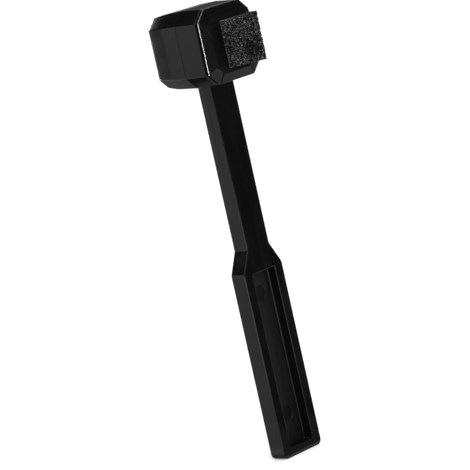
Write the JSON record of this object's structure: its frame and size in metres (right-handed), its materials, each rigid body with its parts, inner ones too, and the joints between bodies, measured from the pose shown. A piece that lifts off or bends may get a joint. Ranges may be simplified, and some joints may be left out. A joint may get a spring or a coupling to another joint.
{
  "type": "lens cleaning stick",
  "caption": "Flat moulded handle with a pocketed grip and a chamfered hammer-shaped head; a plug-in holder on the head's front carries a foam cleaning pad.",
  "frame": {"origin": "centre of the grip's end face", "axes": "+Z along the handle from the grip's end to the head, -Y the way the pad faces, +X to the right of someone looking at the pad"},
  "size_m": [0.0198, 0.024, 0.1203],
  "materials": {
    "handle_plastic": "black moulded styrene plastic, polished tool finish with faint flow lines and light scuffs",
    "head_plastic": "black moulded styrene plastic, polished outside",
    "holder_plastic": "black moulded styrene plastic, satin face with faint tool lines on the bevel",
    "adhesive_layer": "thin grey double-sided adhesive film, cut edges showing",
    "pad_foam": "coarse open-cell foam, charcoal grey, dry and matte"
  },
  "bodies": {
    "stick": {"handle": "handle_plastic", "rear_shell": "head_plastic", "front_shell": "head_plastic"},
    "pad_carrier": {"pad_holder": "holder_plastic", "pad_tape": "adhesive_layer", "foam_pad": "pad_foam"}
  },
  "joints": [
    {"name": "holder_pull", "type": "slide", "parent": "stick", "child": "pad_carrier", "axis": [0, -1, 0], "range_m": [0, 0.006]}
  ]
}
